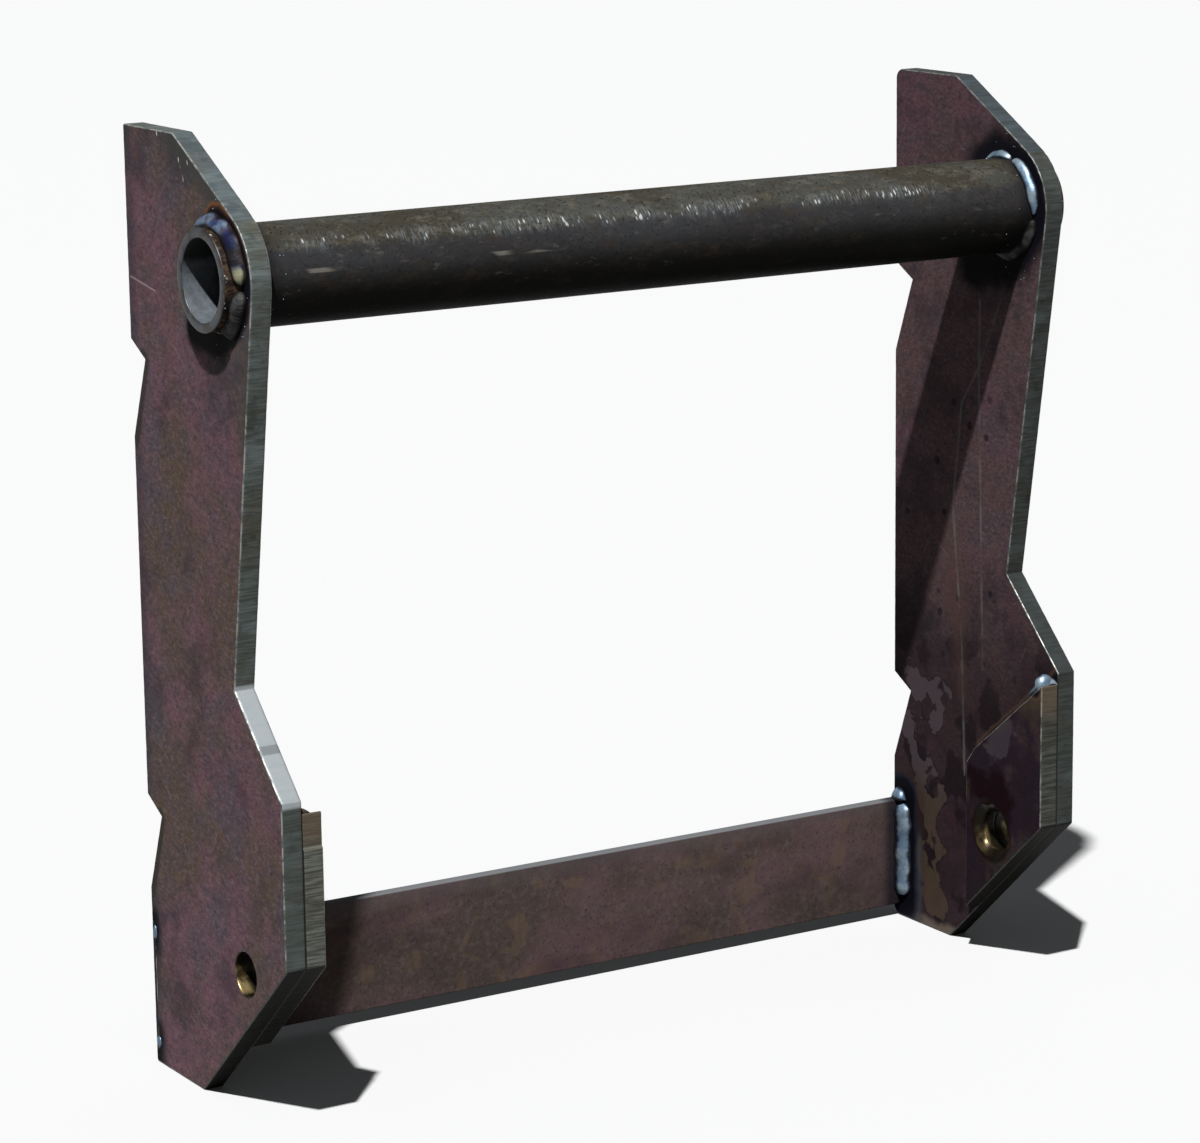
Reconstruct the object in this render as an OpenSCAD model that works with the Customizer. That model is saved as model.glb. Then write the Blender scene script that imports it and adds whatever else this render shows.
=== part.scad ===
// Weld-on loader attachment frame: two profiled side plates joined by a hook
// tube at the top and a flat bar near the bottom, with a doubler plate inside
// each side plate around the bore for the carrier's locking pin.
// X runs across the frame, +Y is the welded rear edge, +Z is up. The origin is
// under the middle of the frame, level with the bottom edges of the plates.

/* [Frame] */
// Clear width between the two side plates
inner_w = 660; // [500:5:900]
// Height of the side plates
frame_h = 700; // [680:1:720]
// Depth from the rear edge to the front of the plates
frame_d = 217; // [210:1:225]

/* [Side plates] */
// Thickness of each side plate
plate_t = 16; // [12:0.5:25]
// Length of the flat top edge
crest_d = 80; // [60:1:90]
// Width of steel left around the hook tube at the nose
nose_wall = 15; // [12:0.5:20]
// Depth from the rear edge to the knee under the nose
knee_d = 150; // [145:1:160]
// Height of the front corner above the pin bore
shoulder_h = 247.5; // [240:0.5:255]
// Height of the front corner below the pin bore
chin_h = 125; // [115:1:135]
// Length of the flat bottom edge
sole_d = 79; // [60:1:90]
// Radius of the bottom rear corner of the left and the right plate
heel_r = [2, 10];
// Radius of the top rear corner of the left and the right plate
crown_r = [1.5, 8];
// Height of the top of each rear notch
notch_tops = [206.5, 545.5];
// Height of a rear notch
notch_h = 71.5; // [50:0.5:90]
// Depth of a rear notch
notch_d = 22.5; // [10:0.5:30]
// Drop of a rear notch's short upper slope
notch_drop = 12.5; // [5:0.5:20]

/* [Hook tube] */
// Outside diameter of the hook tube
tube_od = 73; // [60:0.5:80]
// Wall thickness of the hook tube
tube_wall = 7.1; // [4:0.1:12]
// Length of tube that stands out of each side plate
tube_proud = 13; // [6:0.5:25]
// Depth of the tube's axis from the rear edge
tube_d = 144; // [140:0.5:150]
// Height of the tube's axis
tube_h = 605; // [600:0.5:610]
// Radial clearance of the tube in its hole in the plate
tube_gap = 0.5; // [0.2:0.1:1]

/* [Cross bar] */
// Thickness of the flat bar
bar_t = 10; // [6:0.5:16]
// Height of the flat bar
bar_w = 90; // [70:1:110]
// Height of the bar's lower edge
bar_z = 10; // [0:1:20]
// Width of the weld groove along the bar's rear ends
groove = 4; // [2:0.5:6]

/* [Pin bores] */
// Thickness of each doubler plate
doubler_t = 16; // [10:0.5:25]
// Diameter of the locking pin's bore
pin_bore = 33; // [25:0.5:36]
// Depth of the bore's axis from the rear edge
pin_d = 154; // [150:0.5:160]
// Height of the bore's axis
pin_h = 108; // [104:0.5:112]
// Size of the lead-in chamfer at the bore's inner mouth
lead_in = 5.5; // [2:0.5:7]
// Depth from the rear edge to the doubler's rear edge
doubler_rear_d = 120.5; // [115:0.5:125]
// Height of the doubler's front top corner
doubler_front_h = 240; // [236:0.5:242]
// Height at which the doubler's top edge would meet its rear edge
doubler_rear_h = 163.5; // [160:0.5:170]
// Size of the clipped corner between the doubler's top and rear edges
doubler_clip = 10; // [5:0.5:15]
// Radius of the bottom rear corner of the left and the right doubler
toe_r = [4, 0.5];

/* [Welds] */
// Leg of the tube's outer beads along the side plate
outer_leg = 9.5; // [6:0.5:12]
// Leg of the tube's outer beads along the tube
outer_tube_leg = 8; // [6:0.5:12]
// Leg of the tube's inner beads
inner_leg = 6.5; // [5:0.5:10]
// Leg of the bar's front beads along the side plate
bar_leg_plate = 14; // [8:0.5:16]
// Leg of the bar's front beads along the bar
bar_leg_bar = 7; // [4:0.5:10]
// Leg of the bar's top beads along the side plate
bar_top_leg = 9; // [5:0.5:12]
// Leg of the doubler's top and rear beads
doubler_leg = 4.5; // [3:0.5:8]
// Leg of the doubler's corner tack along the side plate
tack_leg = 10; // [6:0.5:14]
// Leg of the doubler's corner tack along the doubler's edge
tack_width = 15; // [6:0.5:16]

/* [Hidden] */
$fn = 96;

LEFT = -1;
RIGHT = 1;
rear_y = frame_d / 2;
inner_x = inner_w / 2;
outer_x = inner_x + plate_t;
doubler_x = inner_x - doubler_t;
tube_r = tube_od / 2;
pin_r = pin_bore / 2;
nose_r = tube_r + nose_wall;

mill_scale = [0.33, 0.29, 0.31];
tube_steel = [0.30, 0.28, 0.25];
bar_steel = [0.28, 0.22, 0.24];
bead_silver = [0.62, 0.66, 0.72];
bead_dull = [0.42, 0.43, 0.46];

// Angles around the tube: 0 points to the front, 90 points up.
crown_arc = [78, 128];
front_arc = [-6, 73];
under_arc = [-104, -12];
outer_upper_arc = [0, 128];
outer_lower_arc = [-68, -6];
// Depths between which the doubler's corner tack runs.
tack_d = [194, 214];
// Height of the rear weld's start above the doubler's bottom rear corner.
rear_weld_rise = 10;

// A profile point, given by its depth from the rear edge and its height.
function at(depth, height) = [rear_y - depth, height];
tube_at = at(tube_d, tube_h);
pin_at = at(pin_d, pin_h);
knee_h = shoulder_h + frame_d - knee_d;

// Point where a line from p touches the circle of radius r about c; side picks which of the two.
function tangent(p, c, r, side) =
    let (v = p - c, a = atan2(v[1], v[0]) + side * acos(r / norm(v)))
    c + r * [cos(a), sin(a)];

// Height of the plate's lower front slope at a depth.
function slope_h(depth) = chin_h * (depth - sole_d) / (frame_d - sole_d);

// Height of the doubler's top edge at a depth.
function doubler_top_h(depth) =
    doubler_rear_h
    + (doubler_front_h - doubler_rear_h) * (depth - doubler_rear_d) / (frame_d - doubler_rear_d);

// Stands a profile drawn in depth and height upright, its thickness running in +X from x.
module upright(x, thickness) {
    translate([x, 0, 0]) rotate([90, 0, 90]) linear_extrude(thickness) children();
}

// Puts what is drawn for the left side on the side asked for.
module on_side(side) {
    if (side == RIGHT) mirror([1, 0, 0]) children();
    else children();
}

module notch_outline(top) {
    polygon([
        at(-1, top + notch_drop / notch_d),
        at(notch_d, top - notch_drop),
        at(-1, top - notch_h - (notch_h - notch_drop) / notch_d)
    ]);
}

// What rounds a square corner at the bottom of the rear edge; mirrored, it serves the top one.
module corner_cut(r) {
    difference() {
        translate(at(r, -1)) square([r + 1, r + 1]);
        translate(at(r, r)) circle(r);
    }
}

module plate_outline(heel, crown) {
    crest = at(crest_d, frame_h);
    knee = at(knee_d, knee_h);
    difference() {
        union() {
            polygon([
                at(0, 0), at(0, frame_h), crest,
                tangent(crest, tube_at, nose_r, 1),
                tangent(knee, tube_at, nose_r, -1),
                knee,
                at(frame_d, shoulder_h), at(frame_d, chin_h), at(sole_d, 0)
            ]);
            translate(tube_at) circle(nose_r);
        }
        for (top = notch_tops) notch_outline(top);
        corner_cut(heel);
        translate([0, frame_h]) mirror([0, 1]) corner_cut(crown);
    }
}

module side_plate(side) {
    heel = side == LEFT ? heel_r[0] : heel_r[1];
    crown = side == LEFT ? crown_r[0] : crown_r[1];
    color(mill_scale) on_side(side) difference() {
        upright(-outer_x, plate_t) plate_outline(heel, crown);
        across(tube_at, -outer_x - 1, plate_t + 2, tube_r + tube_gap);
        across(pin_at, -outer_x - 1, plate_t + 2, pin_r);
    }
}

// A cylinder along X through a profile point.
module across(centre, x, length, r) {
    translate([x, centre[0], centre[1]]) rotate([0, 90, 0]) cylinder(h = length, r = r);
}

module hook_tube() {
    half = outer_x + tube_proud;
    color(tube_steel) difference() {
        across(tube_at, -half, 2 * half, tube_r);
        across(tube_at, -half - 1, 2 * half + 2, tube_r - tube_wall);
    }
}

// The flat bar; its rear ends are bevelled to make room for the rear welds.
module cross_bar() {
    color(bar_steel) translate([0, 0, bar_z]) linear_extrude(bar_w) polygon([
        [-inner_x, rear_y - bar_t], [inner_x, rear_y - bar_t],
        [inner_x, rear_y - groove], [inner_x - groove, rear_y],
        [-inner_x + groove, rear_y], [-inner_x, rear_y - groove]
    ]);
}

// What rounds the doubler's corner between its rear edge and the slope of the side plate. The
// round's centre and the two ways out of it, square to those edges, bound the piece cut off.
module toe_cut(r) {
    slope_angle = atan2(chin_h, frame_d - sole_d);
    to_rear = [r, 0];
    to_slope = [-r * sin(slope_angle), -r * cos(slope_angle)];
    centre_d = doubler_rear_d + r;
    centre = at(centre_d, slope_h(centre_d) + r / cos(slope_angle));
    translate(centre) difference() {
        polygon([[0, 0], 2 * to_slope, 5 * (to_slope + to_rear), 2 * to_rear]);
        circle(r);
    }
}

module doubler_outline(toe) {
    clip_d = doubler_rear_d + doubler_clip;
    difference() {
        polygon([
            at(frame_d, chin_h), at(frame_d, doubler_front_h),
            at(clip_d, doubler_top_h(clip_d)),
            at(doubler_rear_d, doubler_rear_h - doubler_clip / 2),
            at(doubler_rear_d, slope_h(doubler_rear_d))
        ]);
        toe_cut(toe);
    }
}

module pin_doubler(side) {
    color(mill_scale) on_side(side) difference() {
        upright(-inner_x, doubler_t) doubler_outline(side == LEFT ? toe_r[0] : toe_r[1]);
        across(pin_at, -inner_x - 1, doubler_t + 2, pin_r);
        translate([-doubler_x, pin_at[0], pin_at[1]]) rotate([0, -90, 0])
            cylinder(h = lead_in, r1 = pin_r + lead_in, r2 = pin_r);
    }
}

// Cross-section of a slightly convex fillet weld in the corner at the origin.
module fillet_section(leg_a, leg_b) {
    bulge = 0.56;
    polygon([[0, 0], [leg_a, 0], [leg_a * bulge, leg_b * bulge], [0, leg_b]]);
}

// A bead around the tube on the left plate's outer face, growing away from the plate.
module ring_bead(arc, leg_radial, leg_axial) {
    rotate([90, 0, -90]) rotate([0, 0, arc[0]]) rotate_extrude(angle = arc[1] - arc[0])
        translate([tube_r, 0]) fillet_section(leg_radial, leg_axial);
}

module tube_outer_weld(side, arc) {
    color(bead_silver) on_side(side) translate([-outer_x, tube_at[0], tube_at[1]])
        ring_bead(arc, outer_leg, outer_tube_leg);
}

module tube_inner_weld(side, arc, tint) {
    color(tint) on_side(side) translate([-inner_x, tube_at[0], tube_at[1]])
        mirror([1, 0, 0]) ring_bead(arc, inner_leg, inner_leg);
}

// The upright fillet between the bar's front face and the side plate.
module bar_front_weld(side) {
    color(bead_silver) on_side(side) translate([-inner_x, rear_y - bar_t, bar_z + 8])
        mirror([0, 1, 0]) linear_extrude(bar_w - 8) fillet_section(bar_leg_bar, bar_leg_plate);
}

// The groove weld that fills the bevel at the bar's rear end, flush with the rear edges.
module bar_rear_weld(side) {
    color(bead_silver) on_side(side) translate([-inner_x, rear_y, bar_z])
        mirror([0, 1, 0]) linear_extrude(bar_w)
            polygon([[0, 0], [groove, 0], [0, groove]]);
}

// The short bead over the bar's top edge at its end, which runs on over the front fillet.
module bar_top_weld(side) {
    color(bead_silver) on_side(side) translate([-inner_x, rear_y - 1, bar_z + bar_w])
        rotate([90, 0, 0]) linear_extrude(bar_t + bar_leg_bar)
            fillet_section(bar_leg_bar, bar_top_leg);
}

// A straight fillet on the left plate's inner face between two profile points. It fills the
// corner on the right-hand side of the run, seen with the front of the frame to the left.
module plate_bead(from, to, leg_edge, leg_plate) {
    run = to - from;
    translate([-inner_x, from[0], from[1]]) rotate([atan2(run[1], run[0]) - 90, 0, 0])
        linear_extrude(norm(run)) fillet_section(leg_edge, leg_plate);
}

// The lump at the front end of the doubler's top edge.
module doubler_tack(side) {
    color(bead_silver) on_side(side) plate_bead(
        at(tack_d[0], doubler_top_h(tack_d[0])), at(tack_d[1], doubler_top_h(tack_d[1])),
        tack_width, tack_leg
    );
}

module doubler_top_weld(side) {
    start_d = doubler_rear_d + doubler_clip + 2;
    color(bead_dull) on_side(side) plate_bead(
        at(start_d, doubler_top_h(start_d)), at(tack_d[0], doubler_top_h(tack_d[0])),
        doubler_leg, doubler_leg
    );
}

module doubler_rear_weld(side) {
    color(bead_dull) on_side(side) plate_bead(
        at(doubler_rear_d, slope_h(doubler_rear_d) + rear_weld_rise),
        at(doubler_rear_d, doubler_rear_h - doubler_clip / 2),
        doubler_leg, doubler_leg
    );
}

side_plate(LEFT);  // side_plate_left
side_plate(RIGHT);  // side_plate_right
hook_tube();
cross_bar();
pin_doubler(LEFT);  // pin_doubler_left
pin_doubler(RIGHT);  // pin_doubler_right
tube_outer_weld(LEFT, outer_upper_arc);  // weld_tube_outer_upper_left
tube_outer_weld(RIGHT, outer_upper_arc);  // weld_tube_outer_upper_right
tube_outer_weld(LEFT, outer_lower_arc);  // weld_tube_outer_lower_left
tube_outer_weld(RIGHT, outer_lower_arc);  // weld_tube_outer_lower_right
tube_inner_weld(LEFT, crown_arc, bead_silver);  // weld_tube_inner_crown_left
tube_inner_weld(RIGHT, crown_arc, bead_silver);  // weld_tube_inner_crown_right
tube_inner_weld(LEFT, front_arc, bead_silver);  // weld_tube_inner_front_left
tube_inner_weld(RIGHT, front_arc, bead_silver);  // weld_tube_inner_front_right
tube_inner_weld(LEFT, under_arc, bead_dull);  // weld_tube_inner_under_left
tube_inner_weld(RIGHT, under_arc, bead_dull);  // weld_tube_inner_under_right
bar_front_weld(LEFT);  // weld_bar_front_left
bar_front_weld(RIGHT);  // weld_bar_front_right
bar_top_weld(LEFT);  // weld_bar_top_left
bar_top_weld(RIGHT);  // weld_bar_top_right
bar_rear_weld(LEFT);  // weld_bar_rear_left
bar_rear_weld(RIGHT);  // weld_bar_rear_right
doubler_tack(LEFT);  // weld_doubler_tack_left
doubler_tack(RIGHT);  // weld_doubler_tack_right
doubler_top_weld(LEFT);  // weld_doubler_top_left
doubler_top_weld(RIGHT);  // weld_doubler_top_right
doubler_rear_weld(LEFT);  // weld_doubler_rear_left
doubler_rear_weld(RIGHT);  // weld_doubler_rear_right
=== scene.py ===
import functools
import math
import random

import bpy
from mathutils import Matrix, Vector, noise
from mathutils.geometry import intersect_point_line, tessellate_polygon


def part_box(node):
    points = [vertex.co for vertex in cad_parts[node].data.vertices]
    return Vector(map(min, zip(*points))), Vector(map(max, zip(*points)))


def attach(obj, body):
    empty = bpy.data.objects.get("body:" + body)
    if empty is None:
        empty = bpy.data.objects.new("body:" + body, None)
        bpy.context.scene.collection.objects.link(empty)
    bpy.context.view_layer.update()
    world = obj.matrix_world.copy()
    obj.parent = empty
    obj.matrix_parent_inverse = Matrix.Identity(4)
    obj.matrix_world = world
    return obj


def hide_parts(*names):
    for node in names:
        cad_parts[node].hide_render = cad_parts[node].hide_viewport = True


# ---------------------------------------------------------------- frame and sizes

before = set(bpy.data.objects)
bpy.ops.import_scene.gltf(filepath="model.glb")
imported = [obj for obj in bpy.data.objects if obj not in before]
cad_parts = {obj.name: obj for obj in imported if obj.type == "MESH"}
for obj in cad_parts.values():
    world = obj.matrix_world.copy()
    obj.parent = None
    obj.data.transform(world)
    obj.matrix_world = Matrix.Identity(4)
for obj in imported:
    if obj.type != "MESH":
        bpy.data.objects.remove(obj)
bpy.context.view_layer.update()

MM = 0.001
SIDES = {"left": -1, "right": 1}

tube_low, tube_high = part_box("hook_tube")
bar_low, bar_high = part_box("cross_bar")
plate_low, plate_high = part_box("side_plate_right")
doubler_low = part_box("pin_doubler_right")[0]

TUBE_R = (tube_high.z - tube_low.z) / 2
TUBE_Y = (tube_high.y + tube_low.y) / 2
TUBE_Z = (tube_high.z + tube_low.z) / 2
TUBE_HALF = tube_high.x
TUBE_WALL = 7.1 * MM
INNER_X = plate_low.x
OUTER_X = plate_high.x
REAR_Y = plate_high.y
FRONT_Y = plate_low.y
DOUBLER_X = doubler_low.x
LEAD_IN = 5.5 * MM
GROOVE = 4 * MM

ARRIS = 0.8 * MM        # rounding of a flame-cut edge
CUT_STEP = 0.8 * MM     # spacing of mesh points along a flame-cut edge
BEAD_STEP = 0.45 * MM   # spacing of mesh rings along a weld bead
TUBE_STEPS = 520        # mesh rings along the tube's outside
BORE_STEPS = 120        # mesh rings along the tube's bore
TUBE_SEGMENTS = 240     # mesh points round the tube

# Places of a plate's materials in its list: rolled face, cut wall, drilled wall, rounded corner.
FACE, CUT, BORE, CORNER = range(4)

# The doubler's outline in millimetres: its rear and front edges and their heights at the top.
DOUBLER_REAR = 120.5
DOUBLER_FRONT = 217
REAR_TOP = 163.5
FRONT_TOP = 240


def smooth(low, high, value):
    """0 below low, 1 above high, and a soft step between."""
    t = min(max((value - low) / (high - low), 0.0), 1.0)
    return t * t * (3 - 2 * t)


def at(depth, height):
    """The (y, z) point this many millimetres forward of the rear edge and above the floor."""
    return Vector((REAR_Y - depth * MM, height * MM))


NOSE_START = at(177, 643)   # where the cut leaves the top slope for the arc round the tube

# Places on the side profile as (depth, height) in millimetres, which materials are laid out by.
TUBE_AXIS = (144, 605)
BORE_AXIS = (154, 108)
TACK = (208, 236)
CREST = ((80, 700), (169, 650))
SLOPE = ((150, 314), (217, 247))
FRONT_EDGE = ((217, 122), (217, 247))
CHIN = ((217, 122), (79, 0))
REAR_EDGE = ((0, 0), (0, 700))
DOUBLER_TOP = ((122, 165), (217, 240))
BAR_END = ((14, 14), (14, 104))

# ---------------------------------------------------------------- mesh helpers


def new_piece(name, vertices, faces, materials, replaced=()):
    """A mesh that rides on the frame and stands for the CAD nodes named in replaced."""
    mesh = bpy.data.meshes.new(name)
    mesh.from_pydata(vertices, [], faces)
    for material in materials:
        mesh.materials.append(material)
    mesh.polygons.foreach_set("use_smooth", [True] * len(faces))
    piece = bpy.data.objects.new(name, mesh)
    bpy.context.scene.collection.objects.link(piece)
    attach(piece, "root")
    if replaced:
        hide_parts(*replaced)
    return piece


def set_attribute(mesh, name, values):
    """Stores one number per vertex under a name that materials can read."""
    mesh.attributes.new(name, "FLOAT", "POINT").data.foreach_set("value", values)


def area(loop):
    """Signed area of a closed loop of 2-D points."""
    return sum(a.x * b.y - b.x * a.y for a, b in zip(loop, loop[1:] + loop[:1])) / 2


def face_loops(node, x):
    """The loops round a CAD node's flat face at x: (y, z) points, outline first, steel on the left."""
    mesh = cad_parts[node].data
    uses = {}
    for polygon in mesh.polygons:
        corners = [mesh.vertices[i].co for i in polygon.vertices]
        if max(abs(c.x - x) for c in corners) > 1e-5:
            continue
        keys = [(round(c.y, 6), round(c.z, 6)) for c in corners]
        for a, b in zip(keys, keys[1:] + keys[:1]):
            uses[frozenset((a, b))] = uses.get(frozenset((a, b)), 0) + 1
    links = {}
    for edge, count in uses.items():
        if count == 1 and len(edge) == 2:
            a, b = edge
            links.setdefault(a, []).append(b)
            links.setdefault(b, []).append(a)
    loops = []
    while links:
        start = min(links)
        loop = [start]
        step = links[start][0]
        while step != start:
            loop.append(step)
            a, b = links[step]
            step = b if a == loop[-2] else a
        for point in loop:
            del links[point]
        loops.append([Vector(point) for point in loop])
    loops.sort(key=lambda loop: -abs(area(loop)))
    for index, loop in enumerate(loops):
        if (area(loop) > 0) != (index == 0):
            loop.reverse()
    return loops


def skin(rows, count, start=0):
    """Quads between neighbouring rings of count points each, numbered from start."""
    faces = []
    for row in range(rows - 1):
        a = start + row * count
        b = a + count
        for i in range(count):
            j = (i + 1) % count
            faces.append([a + i, a + j, b + j, b + i])
    return faces


def closed_skin(rows, count):
    """The skin of a bar of rings, with a face over each end."""
    first = list(range(count))[::-1]
    last = [(rows - 1) * count + i for i in range(count)]
    return skin(rows, count) + [first, last]


def resample(loop, step):
    """The same closed loop with points no more than step apart and its corners kept."""
    points = []
    for a, b in zip(loop, loop[1:] + loop[:1]):
        count = max(1, math.ceil((b - a).length / step))
        points += [a.lerp(b, i / count) for i in range(count)]
    return points


def outward_normals(loop):
    """Normals that point out of the steel at each point of a loop with steel on its left."""
    normals = []
    for before, here, after in zip(loop[-1:] + loop[:-1], loop, loop[1:] + loop[:1]):
        first = (here - before).normalized()
        second = (after - here).normalized()
        a = Vector((first.y, -first.x))
        b = Vector((second.y, -second.x))
        mean = (a + b).normalized()
        normals.append(mean / max(mean.dot(a), 0.5))
    return normals


# ---------------------------------------------------------------- flat plates with cut edges


def cut_depth(point, across):
    """How deep the flame cut's drag lines and waves run below the nominal edge, in metres."""
    fine = noise.noise(Vector((across * 60, point.x * 900, point.y * 900)))
    coarse = noise.noise(Vector((across * 25, point.x * 210, point.y * 210 + 7)))
    restart = 1 - smooth(10 * MM, 24 * MM, (point - NOSE_START).length)
    flute = 0.5 + 0.5 * noise.noise(Vector((across * 12, point.x * 330, point.y * 330)))
    return max(0.0, 0.10 + 0.09 * fine + 0.09 * coarse + 0.55 * restart * flute) * MM


def drilled_depth(point, across):
    """A drilled wall is smooth."""
    return 0.0


def burnt_tip(loop, set_back):
    """A doubler's outline without its sharp top tip, its front edge set back above a small step."""
    lost_along = 2 * MM
    lost_down = 1.2 * MM
    step_top = 213.2 * MM
    step_foot = 212.0 * MM
    i = max(range(len(loop)), key=lambda k: loop[k].y)
    run = (loop[i - 1] - loop[i]).normalized()
    tip = loop[i] + run * (set_back / run.x)
    points = [tip + run * lost_along, tip - Vector((0, lost_down))]
    if set_back:
        points += [Vector((FRONT_Y + set_back, step_top)), Vector((FRONT_Y, step_foot))]
    return loop[:i] + points + loop[i + 1:]


def wall_rows(thickness, arris, chamfer=0.0):
    """Rows across a cut wall as (distance from the first face, setback, along the flat wall)."""
    rows = [(0.0, arris + chamfer, 0), (0.3 * arris, 0.3 * arris + chamfer, 0)]
    if chamfer:
        rows += [(chamfer * 0.5, chamfer * 0.5, 0), (chamfer, 0.0, 1)]
    else:
        rows += [(arris, 0.0, 1)]
    start = rows[-1][0]
    end = thickness - arris
    count = 9
    rows += [(start + (end - start) * i / count, 0.0, 1) for i in range(1, count + 1)]
    rows += [(thickness - 0.3 * arris, 0.3 * arris, 0), (thickness, arris, 0)]
    return rows


def plate_piece(name, node, face_x, back_x, holes, materials, seed, set_back=None):
    """Rebuilds a flat CAD plate with rounded arrises and flame-cut walls.

    holes says for each hole, biggest first, (wall depth function, chamfer, material number).
    set_back is for a doubler: how far the top end of its front edge was cut back.
    """
    loops = face_loops(node, back_x)
    if set_back is not None:
        loops[0] = burnt_tip(loops[0], set_back)
    thickness = abs(back_x - face_x)
    direction = 1 if back_x > face_x else -1
    walls = [(cut_depth, 0.0, CUT)] + holes
    vertices = []
    faces = []
    face_material = []
    rims = [[], []]
    for loop, (depth, chamfer, material) in zip(loops, walls):
        points = resample(loop, CUT_STEP)
        normals = outward_normals(points)
        rows = wall_rows(thickness, ARRIS, chamfer)
        start = len(vertices)
        count = len(points)
        for across, setback, flat in rows:
            for point, normal in zip(points, normals):
                nick = 1 + 0.5 * noise.noise(Vector((point.x * 130, point.y * 130, seed + across)))
                inset = setback * nick + depth(point, across + seed)
                where = point - normal * inset
                vertices.append((face_x + direction * across, where.x, where.y))
        quads = skin(len(rows), count, start)
        faces += quads if direction > 0 else [quad[::-1] for quad in quads]
        for row, after in zip(rows, rows[1:]):
            on_wall = row[2] and after[2]
            face_material += [material if on_wall or material == BORE else CORNER] * count
        rims[0].append(list(range(start, start + count)))
        last = start + (len(rows) - 1) * count
        rims[1].append(list(range(last, last + count)))
    walls_end = len(faces)
    for end, rings in enumerate(rims):
        corners = [i for ring in rings for i in ring]
        polylines = [[Vector((vertices[i][1], vertices[i][2], 0)) for i in ring] for ring in rings]
        for triangle in tessellate_polygon(polylines):
            a, b, c = [Vector(vertices[corners[i]][1:]) for i in triangle]
            turn = (b - a).cross(c - a)
            triangle = [corners[i] for i in triangle]
            facing_plus_x = (end == 1) == (direction > 0)
            if (turn > 0) != facing_plus_x:
                triangle.reverse()
            faces.append(triangle)
            face_material.append(FACE)
    piece = new_piece(name, vertices, faces, materials, [node])
    mesh = piece.data
    mesh.polygons.foreach_set("material_index", face_material)
    flat = [index < walls_end for index in range(len(faces))]
    mesh.polygons.foreach_set("use_smooth", flat)
    return piece


# ---------------------------------------------------------------- round and straight bars


def lathe(name, profile, segments, materials, material_of, replaced):
    """Turns a closed profile of (x, radius, roughness) about the tube's axis."""
    vertices = []
    for x, radius, rough in profile:
        for i in range(segments):
            angle = 2 * math.pi * i / segments
            y = math.cos(angle)
            z = math.sin(angle)
            lump = noise.noise(Vector((x * 35, y * 2.4, z * 2.4)))
            pit = noise.noise(Vector((x * 260, y * 16, z * 16)))
            r = radius + rough * (0.6 * lump + 0.4 * pit)
            vertices.append((x, TUBE_Y + r * y, TUBE_Z + r * z))
    faces = []
    face_material = []
    rows = len(profile)
    for row in range(rows):
        below = row * segments
        above = ((row + 1) % rows) * segments
        for i in range(segments):
            j = (i + 1) % segments
            faces.append([below + i, above + i, above + j, below + j])
            face_material.append(material_of(row))
    piece = new_piece(name, vertices, faces, materials, replaced)
    piece.data.polygons.foreach_set("material_index", face_material)
    return piece


def tube_profile():
    """The tube's wall section (outside, right end, bore, left end) and where its bore starts."""
    lip = 0.7 * MM
    mill = 0.10 * MM
    inner = TUBE_R - TUBE_WALL
    length = TUBE_HALF - lip
    out = [(-length + 2 * length * i / TUBE_STEPS, TUBE_R, mill) for i in range(TUBE_STEPS + 1)]
    right = [
        (TUBE_HALF - 0.2 * MM, TUBE_R - 0.2 * MM, 0),
        (TUBE_HALF, TUBE_R - lip, 0),
        (TUBE_HALF, inner + lip, 0),
        (TUBE_HALF - 0.2 * MM, inner + 0.2 * MM, 0),
    ]
    hole = [(length - 2 * length * i / BORE_STEPS, inner, mill) for i in range(BORE_STEPS + 1)]
    left = [(-x, radius, rough) for x, radius, rough in reversed(right)]
    return out + right + hole + left, len(out) + len(right)


def tube_piece(materials):
    """The tube; its materials are for the outside, the ends and the bore."""
    profile, bore_start = tube_profile()

    def material_of(row):
        if row < TUBE_STEPS:
            return 0
        if bore_start <= row < bore_start + BORE_STEPS:
            return 2
        return 1

    return lathe(
        "hook_tube_steel", profile, TUBE_SEGMENTS, materials, material_of,
        ["hook_tube"],
    )


def bar_piece(materials):
    """The hot-rolled flat bar, with rolled corners and its bevelled rear ends."""
    corner = 1.3 * MM
    low = Vector((bar_low.y, bar_low.z))
    high = Vector((bar_high.y, bar_high.z))
    section = []
    centres = [
        (low.x + corner, high.y - corner, 90), (low.x + corner, low.y + corner, 180),
        (high.x - corner, low.y + corner, 270), (high.x - corner, high.y - corner, 0),
    ]
    for y, z, start in centres:
        for i in range(6):
            angle = math.radians(start + 18 * i)
            section.append(Vector((y + corner * math.cos(angle), z + corner * math.sin(angle))))
    half = bar_high.x
    stations = [-half, -half + GROOVE]
    inner = half - GROOVE
    stations += [-inner + 2 * inner * i / 300 for i in range(1, 300)] + [inner, half]
    vertices = []
    for x in stations:
        limit = high.x - max(0.0, GROOVE - (half - abs(x)))
        for point in section:
            wave = 0.12 * MM * noise.noise(Vector((x * 18, point.x * 200, point.y * 40)))
            y = min(point.x - abs(wave) * (1 if point.x > low.x + 5 * MM else -1), limit)
            vertices.append((x, y, point.y))
    faces = closed_skin(len(stations), len(section))
    return new_piece("cross_bar_steel", vertices, faces, materials, ["cross_bar"])


# ---------------------------------------------------------------- weld beads


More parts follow.
